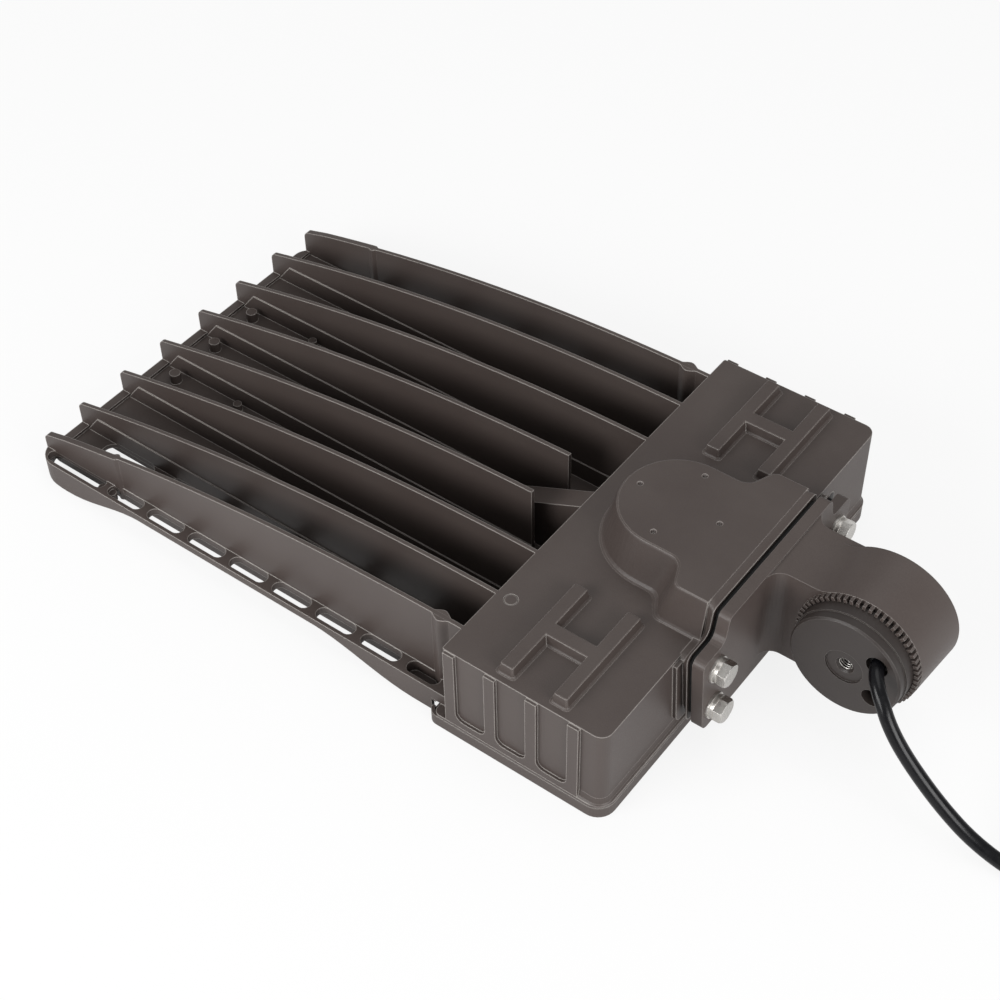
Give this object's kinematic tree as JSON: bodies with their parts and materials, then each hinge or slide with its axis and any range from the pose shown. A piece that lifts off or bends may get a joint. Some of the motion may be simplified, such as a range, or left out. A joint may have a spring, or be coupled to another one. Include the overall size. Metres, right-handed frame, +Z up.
{
  "type": "shoebox area light",
  "caption": "Low shoebox area light: finned cast head, driver box with a hinged door, lensed light boards underneath, bolted arm with a toothed tilt knuckle and a supply cord.",
  "frame": {"origin": "on the surface that the light lies on, under the middle of the light without its cord", "axes": "+X from the front of the fins to the arm, +Z up, lenses facing down"},
  "size_m": [0.7241, 0.28, 0.1026],
  "materials": {
    "bronze_coat": "dark bronze powder coat with a fine texture, on cast aluminium",
    "stainless": "plain stainless steel",
    "black_rubber": "matt moulded rubber",
    "cord_sheath": "smooth black sheath with a soft sheen",
    "board_white": "white solder mask on an aluminium core",
    "led_phosphor": "yellow phosphor under clear resin",
    "lens_clear": "clear moulded acrylic, polished",
    "driver_case": "plain satin aluminium case",
    "zinc_sheet": "zinc-plated sheet",
    "surge_case": "matt dark blue plastic",
    "terminal_body": "pale grey plastic",
    "lever_orange": "glossy orange plastic",
    "wire_black": "black insulation",
    "wire_white": "white insulation",
    "wire_green": "green insulation",
    "wire_red": "red insulation",
    "tinned_copper": "tinned copper strands",
    "tie_nylon": "black nylon"
  },
  "bodies": {
    "knuckle_hub": {"hub": "bronze_coat", "hub_seal": "black_rubber", "hub_ring": "stainless", "cord_bush": "black_rubber", "supply_cord": "cord_sheath", "cord_coil": "cord_sheath", "cord_tie": "tie_nylon", "lead_live": "wire_black", "lead_neutral": "wire_white", "lead_earth": "wire_green", "lead_tips": "tinned_copper"},
    "head": {"housing": "bronze_coat", "led_board_1": "board_white", "led_board_2": "board_white", "led_board_3": "board_white", "led_board_4": "board_white", "led_chips": "led_phosphor", "lens_plate_1": "lens_clear", "lens_plate_2": "lens_clear", "lens_plate_3": "lens_clear", "lens_plate_4": "lens_clear", "lens_gasket": "black_rubber", "lens_frame": "bronze_coat", "frame_screws": "stainless", "driver": "driver_case", "driver_tray": "zinc_sheet", "driver_screws": "stainless", "surge_protector": "surge_case", "terminal_block": "terminal_body", "terminal_levers": "lever_orange", "driver_leads": "wire_black", "led_leads": "wire_red", "wireway_grommet": "black_rubber", "arm_lead": "cord_sheath", "arm_wires": "wire_green", "arm": "bronze_coat", "arm_gasket": "black_rubber", "arm_bolts": "stainless", "spring_washers": "stainless", "flat_washers": "stainless", "hinge_pins": "stainless"},
    "door": {"driver_door": "bronze_coat", "door_gasket": "black_rubber", "door_screws": "stainless", "screw_clips": "stainless"}
  },
  "joints": [
    {"name": "knuckle_tilt", "type": "hinge", "parent": "knuckle_hub", "child": "head", "pos_m": [0.2292, 0, 0.0642], "axis": [0, 1, 0], "range_deg": [0, 90]},
    {"name": "door_hinge", "type": "hinge", "parent": "head", "child": "door", "pos_m": [0.0464, 0, 0.003], "axis": [0, 1, 0], "range_deg": [0, 90]}
  ]
}
